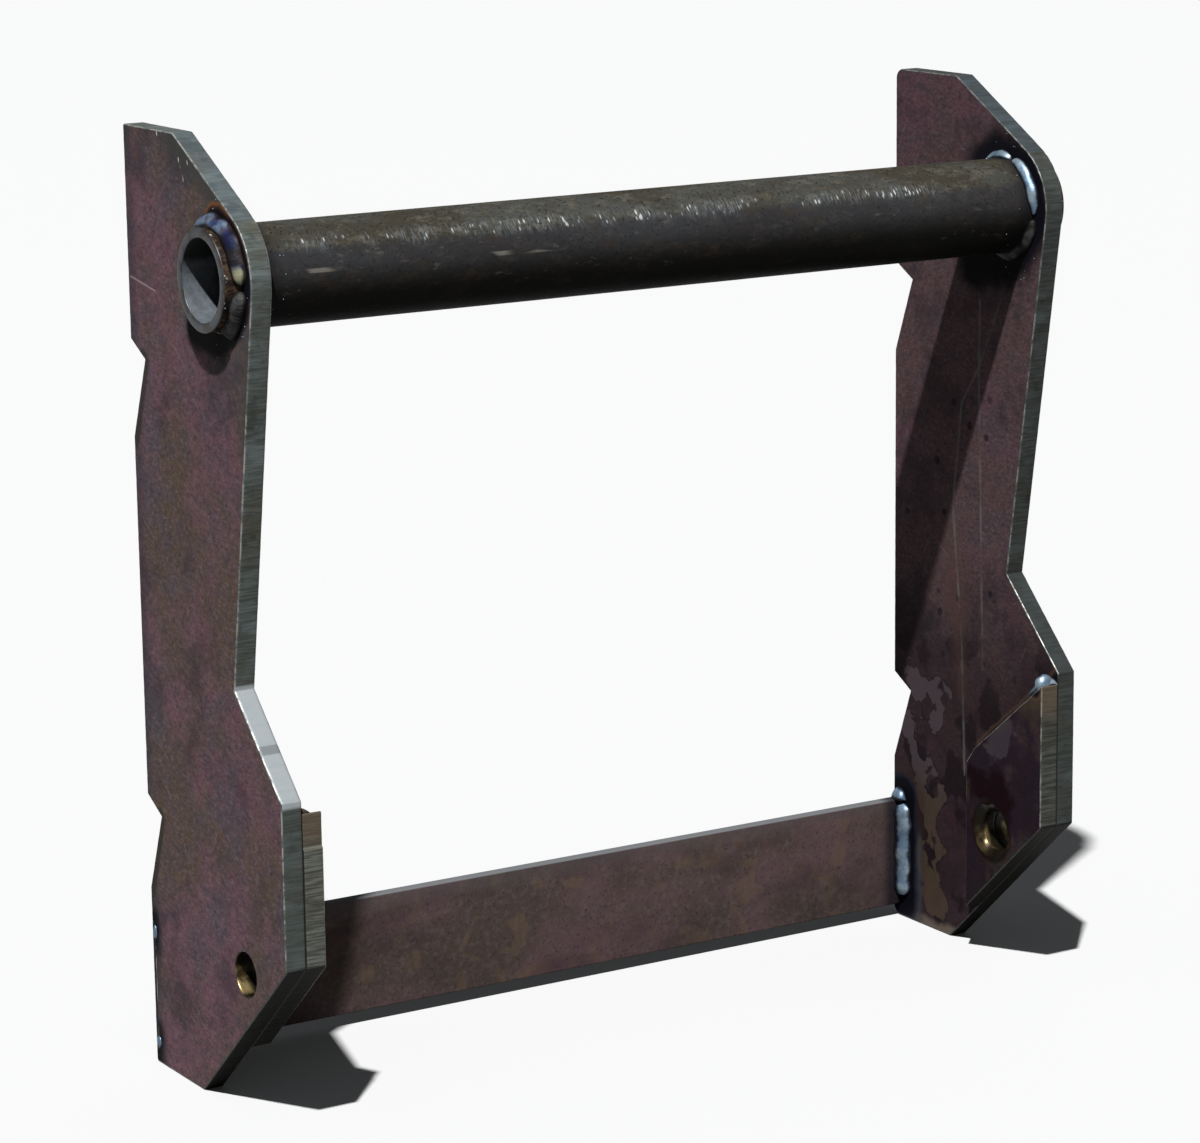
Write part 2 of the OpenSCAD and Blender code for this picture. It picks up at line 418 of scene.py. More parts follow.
def bead_mesh(stations, seed, ripple=0.08 * MM, pitch=1.4 * MM, taper=0.75, steps=14):
    """Vertices and faces of a rippled fillet bead, and how far across it each vertex is.

    stations lists (corner point, direction of leg a, direction of leg b, leg a, leg b, distance run).
    """
    vertices = []
    across = []
    total = stations[-1][5]
    for corner, side_a, side_b, leg_a, leg_b, run in stations:
        end = min(run, total - run)
        reach = taper * max(leg_a, leg_b)
        share = min(end / reach, 1.0)
        size = 0.12 + 0.88 * math.sqrt(1 - (1 - share) ** 2)
        wander_a = 1 + 0.22 * noise.noise(Vector((run * 90, seed, 0)))
        wander_b = 1 + 0.22 * noise.noise(Vector((run * 90, seed, 9)))
        out = (side_a + side_b).normalized()
        vertices.append(corner - out * 1.2 * MM)
        across.append(0.5)
        for i in range(steps + 1):
            angle = math.pi / 2 * i / steps
            a = math.cos(angle) ** 1.25 * leg_a * size * wander_a
            b = math.sin(angle) ** 1.25 * leg_b * size * wander_b
            mid = math.sin(2 * angle)
            phase = run / pitch + 0.9 * mid + 0.5 * noise.noise(Vector((run * 300, seed, i * 0.2)))
            crest = abs(math.sin(math.pi * phase))
            lump = 0.30 * MM * noise.noise(Vector((run * 90, i * 0.16, seed)))
            lift = mid * (ripple * (crest - 0.5) + lump) * size
            vertices.append(corner + side_a * a + side_b * b + out * lift)
            across.append(i / steps)
    return vertices, closed_skin(len(stations), steps + 2), across


def bead_piece(name, stations, materials, slot, replaced, seed, **shape):
    """A weld bead along the stations, turned right side out. shape goes to bead_mesh."""
    vertices, faces, across = bead_mesh(stations, seed, **shape)
    middle = stations[len(stations) // 2]
    travel = stations[len(stations) // 2 + 1][0] - middle[0]
    if travel.dot(middle[1].cross(middle[2])) < 0:
        faces = [face[::-1] for face in faces]
    piece = new_piece(name, vertices, faces, materials, replaced)
    set_attribute(piece.data, "across", across)
    return piece


def ring_stations(side, plate_x, outwards, arc, leg_radial, leg_axial):
    """Stations round the tube where it meets a plate face. Angle 0 is the front and 90 the top."""
    axial = Vector((side * outwards, 0, 0))
    step = BEAD_STEP / TUBE_R
    first, last = [math.radians(angle) for angle in arc]
    count = math.ceil((last - first) / step)
    stations = []
    for i in range(count + 1):
        angle = first + (last - first) * i / count
        radial = Vector((0, -math.cos(angle), math.sin(angle)))
        corner = Vector((side * plate_x, TUBE_Y, TUBE_Z)) + radial * TUBE_R
        run = (angle - first) * TUBE_R
        stations.append((corner, radial, axial, leg_radial, leg_axial, run))
    return stations


def straight_stations(start, end, side_a, side_b, leg_a, leg_b):
    """Stations along a straight corner between two flat faces."""
    length = (end - start).length
    count = math.ceil(length / BEAD_STEP)
    return [
        (start.lerp(end, i / count), side_a, side_b, leg_a, leg_b, length * i / count)
        for i in range(count + 1)
    ]


# ---------------------------------------------------------------- materials


def srgb(red, green, blue):
    """A colour given as 0 to 255 on a screen, in Blender's linear values."""
    def linear(value):
        value = value / 255
        return value / 12.92 if value <= 0.04045 else ((value + 0.055) / 1.055) ** 2.4
    return (linear(red), linear(green), linear(blue), 1.0)


class Paint:
    """One material's nodes, built with plain calls. All lengths are in metres.

    colour is the colour built up so far: a base, and the coats laid over it.
    """

    def __init__(self, name):
        self.material = bpy.data.materials.new(name)
        self.material.use_nodes = True
        self.tree = self.material.node_tree
        self.shader = self.tree.nodes["Principled BSDF"]
        self.point = self.tree.nodes.new("ShaderNodeTexCoord").outputs["Object"]
        split = self.tree.nodes.new("ShaderNodeSeparateXYZ")
        self.tree.links.new(self.point, split.inputs[0])
        self.x, self.y, self.z = split.outputs
        self.colour = None

    def put(self, socket, value):
        if isinstance(value, bpy.types.NodeSocket):
            self.tree.links.new(value, socket)
        else:
            socket.default_value = value

    def math(self, operation, a, b=0.0, c=0.0):
        node = self.tree.nodes.new("ShaderNodeMath")
        node.operation = operation
        for socket, value in zip(node.inputs, (a, b, c)):
            self.put(socket, value)
        return node.outputs[0]

    def fold(self, operation, values):
        return functools.reduce(lambda a, b: self.math(operation, a, b), values)

    def add(self, *values):
        return self.fold("ADD", values)

    def times(self, *values):
        return self.fold("MULTIPLY", values)

    def plus(self, a, b, amount):
        """The number a with some amount of b on top."""
        return self.add(a, self.times(b, amount))

    def most(self, *values):
        return self.fold("MAXIMUM", values)

    def least(self, *values):
        return self.fold("MINIMUM", values)

    def less(self, a, b):
        return self.math("SUBTRACT", a, b)

    def invert(self, a):
        return self.less(1.0, a)

    def apart(self, a, b):
        """How far apart two numbers are."""
        return self.math("ABSOLUTE", self.less(a, b))

    def abs_x(self):
        """Distance from the middle of the frame, which is the same on both sides."""
        return self.math("ABSOLUTE", self.x)

    def step(self, value, low, high):
        """0 below low and 1 above high. With low above high it runs the other way."""
        node = self.tree.nodes.new("ShaderNodeMapRange")
        node.interpolation_type = "SMOOTHSTEP"
        flip = low > high
        if flip:
            low, high = high, low
        for socket, number in zip(node.inputs[1:5], (low, high, float(flip), float(not flip))):
            socket.default_value = number
        self.put(node.inputs[0], value)
        return node.outputs[0]

    def stretch(self, scales, angle=0.0):
        """The point turned about X by an angle in degrees and scaled along X, Y and Z."""
        if scales == (1, 1, 1) and angle == 0.0:
            return self.point
        node = self.tree.nodes.new("ShaderNodeMapping")
        node.inputs["Rotation"].default_value = (math.radians(angle), 0, 0)
        self.put(node.inputs["Vector"], self.point)
        scaled = self.tree.nodes.new("ShaderNodeVectorMath")
        scaled.operation = "MULTIPLY"
        self.put(scaled.inputs[0], node.outputs[0])
        scaled.inputs[1].default_value = scales
        return scaled.outputs[0]

    def noise(self, size, detail=3.0, roughness=0.55, scales=(1, 1, 1), angle=0.0, seed=0.0,
              warp=0.0):
        """Cloud noise from 0 to 1 whose lumps are about size metres across."""
        node = self.tree.nodes.new("ShaderNodeTexNoise")
        node.noise_dimensions = "4D"
        node.inputs["Scale"].default_value = 1 / size
        node.inputs["Detail"].default_value = detail
        node.inputs["Roughness"].default_value = roughness
        node.inputs["Distortion"].default_value = warp
        node.inputs["W"].default_value = seed
        self.put(node.inputs["Vector"], self.stretch(scales, angle))
        return node.outputs["Fac"]

    def patches(self, low, high, *values, **named):
        """The cloud noise as a mask: 0 below low and 1 above high."""
        return self.step(self.noise(*values, **named), low, high)

    def cells(self, size, seed=0.0, scales=(1, 1, 1), angle=0.0):
        """Distance to the nearest of many scattered points, in cell widths."""
        node = self.tree.nodes.new("ShaderNodeTexVoronoi")
        node.voronoi_dimensions = "4D"
        node.inputs["Scale"].default_value = 1 / size
        node.inputs["W"].default_value = seed
        self.put(node.inputs["Vector"], self.stretch(scales, angle))
        return node.outputs["Distance"]

    def mix(self, factor, a, b):
        node = self.tree.nodes.new("ShaderNodeMix")
        node.data_type = "RGBA"
        self.put(node.inputs["Factor"], factor)
        self.put(node.inputs["A"], a)
        self.put(node.inputs["B"], b)
        return node.outputs["Result"]

    def coat(self, mask, tint, amount=1.0):
        """Lays a tint (three screen numbers, srgb's result or a socket) on where the mask is 1."""
        if isinstance(tint, tuple) and len(tint) == 3:
            tint = srgb(*tint)
        if amount != 1.0:
            mask = self.times(mask, amount)
        self.colour = self.mix(mask, self.colour, tint)

    def blend(self, factor, a, b):
        """The number a where factor is 0 and b where it is 1."""
        return self.math("MULTIPLY_ADD", factor, self.less(b, a), a)

    def attribute(self, name):
        node = self.tree.nodes.new("ShaderNodeAttribute")
        node.attribute_name = name
        return node.outputs["Fac"]

    def ring(self, depth, height):
        """Distance from a line along X through a profile point given in millimetres."""
        centre = at(depth, height)
        y = self.less(self.y, centre.x)
        z = self.less(self.z, centre.y)
        return self.math("SQRT", self.add(self.times(y, y), self.times(z, z)))

    def segment(self, start, end):
        """Distance in the Y Z plane from a line between two profile points in millimetres."""
        a = at(*start)
        b = at(*end)
        run = (b - a).normalized()
        y = self.less(self.y, a.x)
        z = self.less(self.z, a.y)
        along = self.add(self.times(y, run.x), self.times(z, run.y))
        held = self.least(self.most(along, 0.0), (b - a).length)
        miss = self.less(along, held)
        off = self.less(self.times(y, run.y), self.times(z, run.x))
        return self.math("SQRT", self.add(self.times(miss, miss), self.times(off, off)))

    def wall(self, ends):
        """The mask of a cut wall between two profile points."""
        return self.step(self.segment(*ends), 5 * MM, 2 * MM)

    def finish(self, roughness, metallic, height=None, specular=0.5):
        self.put(self.shader.inputs["Base Color"], self.colour)
        self.put(self.shader.inputs["Roughness"], roughness)
        self.put(self.shader.inputs["Metallic"], metallic)
        self.shader.inputs["Specular IOR Level"].default_value = specular
        if height is not None:
            node = self.tree.nodes.new("ShaderNodeBump")
            node.inputs["Strength"].default_value = 1.0
            node.inputs["Distance"].default_value = 1.0
            self.put(node.inputs["Height"], height)
            self.put(self.shader.inputs["Normal"], node.outputs[0])
        return self.material


def heat_tint(paint, distance, width, wobble, straw_colour=(59, 45, 34), straw_amount=0.55):
    """Straw, brown and then dark blue oxide as a weld's toe comes near."""
    reach = paint.plus(distance, wobble, width * 1.3)
    straw = paint.step(reach, width * 1.9, width * 1.2)
    brown = paint.step(reach, width * 1.6, width * 0.8)
    blue = paint.step(reach, width * 1.3, width * 0.4)
    paint.coat(straw, straw_colour, straw_amount)
    paint.coat(brown, (22, 15, 16), 0.7)
    paint.coat(blue, (5, 6, 11), 0.94)


def scratches(paint, size, length, angle, seed, amount):
    """Fine straight scratches of one direction: 1 on a scratch."""
    streak = paint.noise(size, 1.0, 0.5, (1, 1 / length, 1), angle, seed)
    return paint.step(streak, 1 - amount, 1 - amount + 0.05)


def nicks(paint, size, scales, angle, seed, radius):
    """Small scattered bruises: 1 inside one."""
    return paint.step(paint.cells(size, seed=seed, scales=scales, angle=angle), radius, radius * 0.5)


def mill_scale(paint, light_and_tone, seed, patchy=1.0):
    """Colours rolled plate under mill scale. Gives its roughness and the noises behind it."""
    rolled = (1, 0.6, 1)
    cloud = paint.noise(0.09, 5.0, 0.62, seed=seed + 2.0)
    mottle = paint.noise(0.011, 4.0, 0.7, rolled, seed=seed + 5.0)
    grain = paint.noise(0.0026, 3.0, 0.75, rolled, seed=seed + 7.0)

    # light_and_tone scales every tone; between the two side plates its values are partly painted
    # light.
    def tone(*values):
        return srgb(*[light_and_tone * value for value in values])

    olive = paint.times(paint.step(cloud, 0.40, 0.56), patchy)
    paint.colour = paint.mix(olive, tone(54, 38, 43), tone(45, 37, 32))
    slate = paint.patches(0.50, 0.62, 0.055, 4.0, 0.6, seed=seed + 12.0)
    paint.coat(slate, tone(38, 37, 42), 0.65 * patchy)
    paint.coat(paint.step(mottle, 0.42, 0.64), tone(41, 36, 39), 0.7)
    paint.coat(paint.step(grain, 0.48, 0.70), tone(68, 55, 57), 0.5)
    paint.coat(paint.step(grain, 0.49, 0.32), tone(24, 19, 21), 0.5)
    dark = paint.patches(0.50, 0.64, 0.045, 4.0, 0.62, seed=seed + 11.0)
    paint.coat(dark, tone(24, 20, 24), 0.45)
    spots = paint.step(paint.cells(0.050, seed=seed + 3.0), 0.15, 0.06)
    paint.coat(spots, (16, 13, 20), 0.6)
    rough = paint.add(paint.times(cloud, 0.22), paint.times(mottle, 0.22), 0.34)
    return rough, cloud, mottle, grain


def scale_height(paint, mottle, grain):
    """The relief of mill scale, in metres."""
    return paint.plus(paint.times(mottle, 0.00018), grain, 0.00004)


def plate_paint(name, side, light_and_tone):
    """A side plate's rolled faces, each with the heat tints of its own welds."""
    paint = Paint(name)
    patchy = 1.0 if side < 0 else 0.45
    rough, cloud, mottle, grain = mill_scale(paint, light_and_tone, side + 3.0, patchy)
    wobble = paint.less(paint.noise(0.014, 3.0, seed=side + 1.0), 0.5)
    lines = scratches(paint, 0.0010, 70, 62, 31.0 + side, 0.31)
    lines = paint.most(lines, scratches(paint, 0.0011, 60, -35, 41.0 + side, 0.30))
    paint.coat(lines, (100, 94, 94), 0.20)
    scale = paint.colour
    inner_face(paint, side, cloud, wobble)
    inner = paint.colour
    paint.colour = scale
    outer_face(paint, side, cloud, wobble)
    middle = (INNER_X + OUTER_X) / 2
    outside = paint.step(paint.abs_x(), middle - 1 * MM, middle + 1 * MM)
    paint.colour = paint.mix(outside, inner, paint.colour)
    return paint.finish(rough, 0.04, scale_height(paint, mottle, grain), specular=0.01)


def shade_under_tube(paint, distance, reach, wobble):
    """Painted shade under the tube: black within a distance in metres of a line."""
    soot = paint.step(paint.plus(distance, wobble, 0.02), reach, reach * 0.4)
    paint.coat(soot, (3, 3, 4), 0.97)


def inner_face(paint, side, cloud, wobble):
    """The face that the pipe, the bar and the doubler are welded to."""
    if side > 0:
        water_marks(paint, cloud, wobble)
    toe = paint.less(paint.ring(*TUBE_AXIS), TUBE_R + 5 * MM)
    heat_tint(paint, toe, 13 * MM, wobble, (26, 22, 25), 0.5)
    bar_weld_tint(paint, wobble)
    top = paint.less(paint.segment(*DOUBLER_TOP), 3 * MM)
    heat_tint(paint, top, 5 * MM, wobble)
    # Painted shade, over some weld soot: black below the tube on the inner face.
    shade_under_tube(paint, paint.segment((104, 556), (150, 564)), 30 * MM, wobble)


def outer_face(paint, side, cloud, wobble):
    """The face that the pipe's stub comes out of, scorched opposite the cross bar."""
    if side < 0:
        worn_zones(paint, cloud, wobble)
    toe = paint.less(paint.ring(*TUBE_AXIS), TUBE_R + 8 * MM)
    front = paint.step(paint.y, TUBE_Y + 25 * MM, TUBE_Y + 5 * MM)
    toe = paint.plus(toe, paint.invert(front), 12 * MM)
    upper = paint.times(paint.step(paint.z, 0.620, 0.640), 0.8)
    heat_tint(paint, toe, 5.5 * MM, wobble, (84, 52, 28), upper)
    rear_run(paint, wobble)
    # Painted shade: black below the pipe's stub, inside the shadow it casts.
    shade_under_tube(paint, paint.segment((110, 566), (142, 562)), 22 * MM, wobble)


def bar_weld_tint(paint, wobble):
    """Black then navy oxide beside the cross bar's weld, and a pale blue line where it ends."""
    weld = paint.plus(paint.segment(*BAR_END), wobble, 0.008)
    brown = paint.step(weld, 0.034, 0.024)
    paint.coat(brown, (30, 22, 20), 0.45)
    pale = paint.times(paint.step(weld, 0.028, 0.022), paint.step(weld, 0.015, 0.022))
    pale = paint.times(pale, paint.step(paint.z, 0.085, 0.060))
    paint.coat(pale, (36, 42, 50), 0.5)
    paint.coat(paint.step(weld, 0.022, 0.015), (12, 15, 24), 0.9)
    paint.coat(paint.step(weld, 0.017, 0.013), (4, 4, 7), 0.9)


def worn_zones(paint, cloud, wobble):
    """Greyer rubbed steel by the top slope, the nose and the notches, with nicks and a scrape."""
    grey = (38, 39, 37)
    slope = paint.plus(paint.segment(*CREST), cloud, 0.03)
    paint.coat(paint.step(slope, 0.046, 0.022), grey, 0.8)
    nose = paint.plus(paint.segment((196, 640), (190, 500)), cloud, 0.04)
    paint.coat(paint.step(nose, 0.054, 0.024), grey, 0.65)
    rear = paint.plus(paint.segment(*REAR_EDGE), cloud, 0.02)
    paint.coat(paint.step(rear, 0.028, 0.012), (28, 28, 33), 0.5)
    for top in (206, 545):
        notch = paint.plus(paint.segment((20, top - 14), (0, top - 71)), cloud, 0.004)
        paint.coat(paint.step(notch, 0.013, 0.009), (29, 28, 24), 0.8)
    bruise = nicks(paint, 0.005, (1, 1.3, 0.45), 14, 61.0, 0.32)
    zone = paint.plus(paint.segment((58, 690), (112, 676)), wobble, 0.02)
    paint.coat(paint.times(bruise, paint.step(zone, 0.011, 0.006)), (160, 160, 158))
    scrape = paint.step(paint.segment((4, 591), (44, 585)), 0.0009, 0.0004)
    paint.coat(scrape, (110, 100, 100), 0.5)


def rear_run(paint, wobble):
    """Oxide along the rear edge opposite the cross bar's weld, ending in two burnt spots."""
    for height in (11, 102):
        spot = paint.segment((2, height - 7), (2, height + 9))
        heat_tint(paint, spot, 10 * MM, wobble, (34, 32, 34))
    run = paint.segment((0, 14), (0, 104))
    paint.coat(paint.step(run, 0.0052, 0.0038), (20, 23, 32), 0.85)
    line = paint.step(paint.apart(run, 0.0048), 0.0006, 0.0002)
    line = paint.times(line, paint.step(paint.add(wobble, 0.5), 0.45, 0.6))
    paint.coat(line, (126, 111, 92), 0.7)


def water_marks(paint, cloud, wobble):
    """Crisp-edged paler stains down the rear of the right plate, and its darker lower half."""
    low = paint.step(paint.plus(paint.z, cloud, 0.16), 0.42, 0.28)
    paint.coat(low, (17, 11, 13), 0.72)
    blotch = paint.patches(0.48, 0.54, 0.05, 3.0, 0.55, seed=33.0)
    paint.coat(paint.times(blotch, low), (10, 7, 10), 0.7)
    streak = paint.plus(paint.segment((78, 330), (84, 262)), wobble, 0.05)
    streak = paint.least(streak, paint.add(paint.segment((84, 262), (93, 208)), 0.010))
    streak = paint.plus(streak, paint.noise(0.012, 4.0, 0.6, seed=37.0), 0.016)
    paint.coat(paint.step(streak, 0.034, 0.010), (50, 36, 32), 0.48)
    edge = paint.less(paint.noise(0.030, 3.0, 0.5, seed=23.0), 0.5)
    reach = paint.least(paint.segment((20, 200), (62, 186)), paint.segment((16, 165), (36, 132)))
    reach = paint.least(reach, paint.segment((50, 120), (48, 22)))
    reach = paint.plus(reach, edge, 0.09)
    stain = paint.step(reach, 0.0145, 0.0120)
    holes = paint.patches(0.57, 0.59, 0.020, 2.0, 0.5, seed=27.0)
    stain = paint.times(stain, paint.invert(holes))
    tan = paint.mix(paint.step(paint.z, 0.10, 0.14), srgb(47, 39, 31), srgb(47, 41, 44))
    paint.coat(paint.times(stain, paint.add(paint.times(cloud, 0.5), 0.45)), tan)
    rim = paint.times(paint.step(reach, 0.0155, 0.0145), paint.step(reach, 0.0130, 0.0140))
    paint.coat(rim, (8, 6, 8), 0.5)
    foot = paint.step(paint.plus(paint.z, wobble, 0.012), 0.010, 0.004)
    paint.coat(foot, (76, 68, 60), 0.6)
    dots = paint.step(paint.cells(0.016, seed=4.0), 0.27, 0.17)
    middle = paint.times(paint.step(paint.z, 0.20, 0.26), paint.step(paint.z, 0.50, 0.42))
    paint.coat(paint.times(dots, middle), (9, 7, 10), 0.7)
    runs = [((112, 474), (90, 443)), ((90, 443), (79, 359)), ((79, 359), (92, 250)),
            ((140, 531), (112, 474)), ((113, 527), (112, 474)), ((112, 474), (120, 232)),
            ((92, 250), (97, 140))]
    scribe = paint.segment(*runs[0])
    for run in runs[1:]:
        scribe = paint.least(scribe, paint.segment(*run))
    scribe = paint.step(paint.plus(scribe, wobble, 0.003), 0.0024, 0.0002)
    scribe = paint.times(scribe, paint.patches(0.36, 0.60, 0.05, 3.0, 0.6, seed=35.0))
    paint.coat(scribe, (74, 74, 72), 0.42)


def doubler_paint(name, side, light_and_tone):
    """The doubler's face: purple scale, straw below the tack and a dark ring at the bore."""
    paint = Paint(name)
    rough, _, mottle, grain = mill_scale(paint, light_and_tone, side + 20.0)
    wobble = paint.less(paint.noise(0.014, 3.0, seed=side + 1.0), 0.5)
    purple = paint.patches(0.42, 0.52, 0.05, 3.0, 0.6, seed=28.0)
    paint.coat(purple, (16, 10, 17), 0.7)
    ragged = paint.less(paint.noise(0.03, 4.0, 0.6, seed=29.0), 0.5)
    rust = paint.plus(paint.segment((134, 148), (156, 140)), ragged, 0.10)
    paint.coat(paint.step(rust, 0.026, 0.012), (11, 3, 5), 0.85)
    pale = paint.plus(paint.segment((150, 176), (176, 196)), ragged, 0.08)
    paint.coat(paint.step(pale, 0.012, 0.009), (42, 38, 42), 0.6)
    tack = paint.less(paint.ring(*TACK), 3 * MM)
    straw = paint.step(paint.plus(tack, wobble, 0.03), 0.034, 0.006)
    paint.coat(straw, (48, 41, 30), 0.6)
    heat_tint(paint, tack, 4 * MM, wobble)
    mouth = paint.step(paint.plus(paint.ring(*BORE_AXIS), wobble, 0.006), 0.0275, 0.0225)
    paint.coat(mouth, (12, 7, 5), 0.85)
    return paint.finish(rough, 0.04, scale_height(paint, mottle, grain), specular=0.01)


def cut_colour(paint, side):
    """Grey-green flame-cut steel with drag lines, brown near the doubler's tack.

    Gives its fine and its broad noise, and the mask of the lower front slope, which it paints dark as
    shade.
    """
    drag = paint.noise(0.0013, 2.0, 0.6, (0.06, 1, 1), seed=side)
    broad = paint.noise(0.009, 3.0, 0.6, (0.25, 1, 1), seed=side + 4.0)
    stain = paint.noise(0.03, 4.0, 0.65, seed=side + 8.0)
    # Left cut edges painted brighter than the right ones: partly tone, partly painted light.
    light_and_tone = 1.28 if side < 0 else 0.92

    def tone(*values):
        return srgb(*[light_and_tone * value for value in values])

    paint.colour = paint.mix(paint.step(drag, 0.34, 0.66), tone(33, 35, 33), tone(44, 48, 46))
    paint.coat(paint.step(broad, 0.45, 0.7), tone(56, 62, 63), 0.5)
    paint.coat(paint.step(stain, 0.46, 0.68), tone(36, 33, 26), 0.6)
    soot = paint.patches(0.52, 0.66, 0.018, 4.0, 0.7, seed=side + 9.0)
    paint.coat(soot, tone(20, 21, 20), 0.5)
    front = paint.wall(FRONT_EDGE)
    paint.coat(front, (34, 37, 35), 0.55 if side < 0 else 0.2)
    inside = paint.step(paint.abs_x(), INNER_X, INNER_X - 1 * MM)
    lined = paint.mix(paint.step(drag, 0.4, 0.6), tone(34, 33, 29), tone(56, 57, 52))
    paint.coat(inside, lined, 0.6)
    tack = paint.times(paint.step(paint.ring(217, 238), 0.034, 0.010), inside)
    paint.coat(tack, (58, 49, 39), 0.75)
    # Painted shade: the downward-facing lower front slope is darkened.
    chin_shade = paint.step(paint.segment(*CHIN), 6 * MM, 3 * MM)
    paint.coat(chin_shade, (12, 11, 9), 0.88)
    return drag, broad, chin_shade


def cut_paint(name, side):
    """Flame-cut walls. The slope above the doubler is ground nearly bright."""
    paint = Paint(name)
    drag, broad, _ = cut_colour(paint, side)
    slope = paint.wall(SLOPE)
    crest = paint.wall(CREST)
    brushed = paint.blend(paint.step(broad, 0.40, 0.62), 1.0, 0.66)
    shine = paint.times(slope, 0.84 if side < 0 else 0.0, brushed)
    mark = paint.step(paint.segment((184, 280), (187, 277)), 0.0022, 0.0010)
    paint.coat(crest, (50, 58, 66) if side < 0 else (34, 42, 52), 0.3)
    paint.coat(slope, (26, 29, 30), 0.6 if side > 0 else 0.0)
    paint.coat(shine, (132, 137, 140))
    paint.coat(mark, (56, 60, 64), 0.5 if side < 0 else 0.0)
    height = paint.plus(paint.times(drag, 0.00016), broad, 0.00022)
    rough = paint.blend(shine, 0.5, 0.36)
    metal = paint.blend(shine, 0.03, 0.7)
    return paint.finish(rough, metal, height, specular=0.02)


def arris_paint(name, side):
    """The rounded corner of a cut edge: bare metal wherever it has been knocked."""
    paint = Paint(name)
    _, _, chin_shade = cut_colour(paint, side)
    worn = paint.patches(0.42, 0.60, 0.010, 4.0, 0.7, seed=side + 14.0)
    slope = paint.wall(SLOPE)
    bare = 0.6 if side < 0 else 0.36
    worn = paint.most(paint.times(worn, bare), paint.times(slope, paint.times(worn, bare + 0.3)))
    # Painted shade: few bright knocks show on the shaded lower front slope.
    worn = paint.times(worn, paint.blend(chin_shade, 1.0, 0.15))
    joint = paint.apart(paint.abs_x(), INNER_X)
    joint = paint.times(paint.step(joint, 3 * MM, 2 * MM), paint.step(paint.z, 0.246, 0.242))
    joint = paint.times(joint, paint.step(paint.y, REAR_Y - 112 * MM, REAR_Y - 118 * MM))
    paint.coat(worn, (120, 120, 116))
    paint.coat(joint, (10, 6, 5))
    metal = paint.times(worn, paint.times(paint.invert(joint), 0.7))
    return paint.finish(paint.blend(joint, 0.40, 0.7), metal, specular=0.2)


def bore_paint(name):
    """Drilled steel, metallic gold-brown, painted dark as shade except for a painted highlight where
    the sun falls on its lower rear wall.
    """
    paint = Paint(name)
    turn = paint.noise(0.0007, 1.0, 0.5, (1, 0.02, 0.02), seed=3.0)
    stain = paint.noise(0.010, 3.0, 0.6, seed=6.0)
    paint.colour = paint.mix(paint.step(stain, 0.40, 0.60), srgb(112, 98, 66), srgb(50, 40, 24))
    # Painted highlight and shade: gold kept only round the lit lower rear, near black elsewhere and
    # deep in by the joint.
    bore_shade = paint.step(paint.plus(paint.ring(138, 96), stain, 0.006), 0.008, 0.019)
    from_joint = paint.apart(paint.abs_x(), INNER_X)
    bore_shade = paint.most(bore_shade, paint.step(from_joint, 11 * MM, 5 * MM))
    paint.coat(bore_shade, (8, 7, 4), 0.96)
    # Painted shade on the doubler's lead-in chamfer.
    mouth = paint.step(paint.abs_x(), DOUBLER_X + 6 * MM, DOUBLER_X + 5 * MM)
    paint.coat(mouth, (14, 10, 5), 0.8)
    rough = paint.add(paint.times(stain, 0.2), 0.26)
    return paint.finish(rough, 0.7, paint.times(turn, 0.00008), specular=0.2)


def tube_paint(name):
    """Olive-grey pipe with painted shade, lighter on top and near black underneath, and a line of
    bright rub marks with painted glints along its upper front.
    """
    paint = Paint(name)
    cloud = paint.noise(0.05, 4.0, 0.6, (0.5, 1, 1))
    fine = paint.noise(0.006, 4.0, 0.75, (0.5, 1, 1), seed=2.0)
    pit = paint.noise(0.0026, 3.0, 0.7, seed=5.0)
    paint.colour = paint.mix(paint.step(cloud, 0.38, 0.60), srgb(38, 39, 37), srgb(32, 30, 25))
    paint.coat(paint.step(fine, 0.48, 0.66), (52, 50, 44), 0.75)
    paint.coat(paint.step(pit, 0.46, 0.34), (9, 8, 6), 0.8)
    # Painted shade: darker below the top, then darker again towards the bottom.
    shade_drift = paint.plus(paint.z, cloud, 0.012)
    paint.coat(paint.step(shade_drift, 0.634, 0.628), (21, 21, 26), 0.6)
    paint.coat(paint.step(shade_drift, 0.622, 0.598), (8, 7, 5), 0.8)
    rust = paint.patches(0.50, 0.68, 0.022, 5.0, 0.8, (0.6, 1, 1), seed=9.0)
    paint.coat(rust, (34, 28, 20), 0.5)
    chips = paint.patches(0.60, 0.68, 0.008, 4.0, 0.8, (0.4, 1, 1), seed=10.0)
    paint.coat(chips, (52, 52, 47), 0.5)
    # Painted shade: near black along the underside.
    under = paint.step(paint.z, 0.594, 0.578)
    paint.coat(under, (2, 2, 1), 0.8)
    front = paint.step(paint.y, TUBE_Y, TUBE_Y - 5 * MM)
    rub_marks_and_glints(paint, front)
    burnt = paint.plus(paint.abs_x(), fine, 0.012)
    near = paint.step(burnt, INNER_X - 14 * MM, INNER_X + 2 * MM)
    paint.coat(near, (12, 10, 11), 0.7)
    outside = paint.step(burnt, OUTER_X + 2 * MM, OUTER_X + 8 * MM)
    brown = paint.mix(paint.step(fine, 0.44, 0.60), srgb(20, 15, 13), srgb(54, 42, 31))
    paint.coat(outside, brown, 0.8)
    rim = paint.step(paint.abs_x(), TUBE_HALF - 4 * MM, TUBE_HALF - 1 * MM)
    specks = paint.times(nicks(paint, 0.004, (1, 1, 1), 0, 81.0, 0.36), rim)
    paint.coat(specks, (120, 122, 118), 0.8)
    height = paint.plus(paint.times(fine, 0.00032), pit, 0.00014)
    rough = paint.add(paint.times(fine, 0.3), 0.46)
    return paint.finish(rough, 0.03, height, specular=0.02)


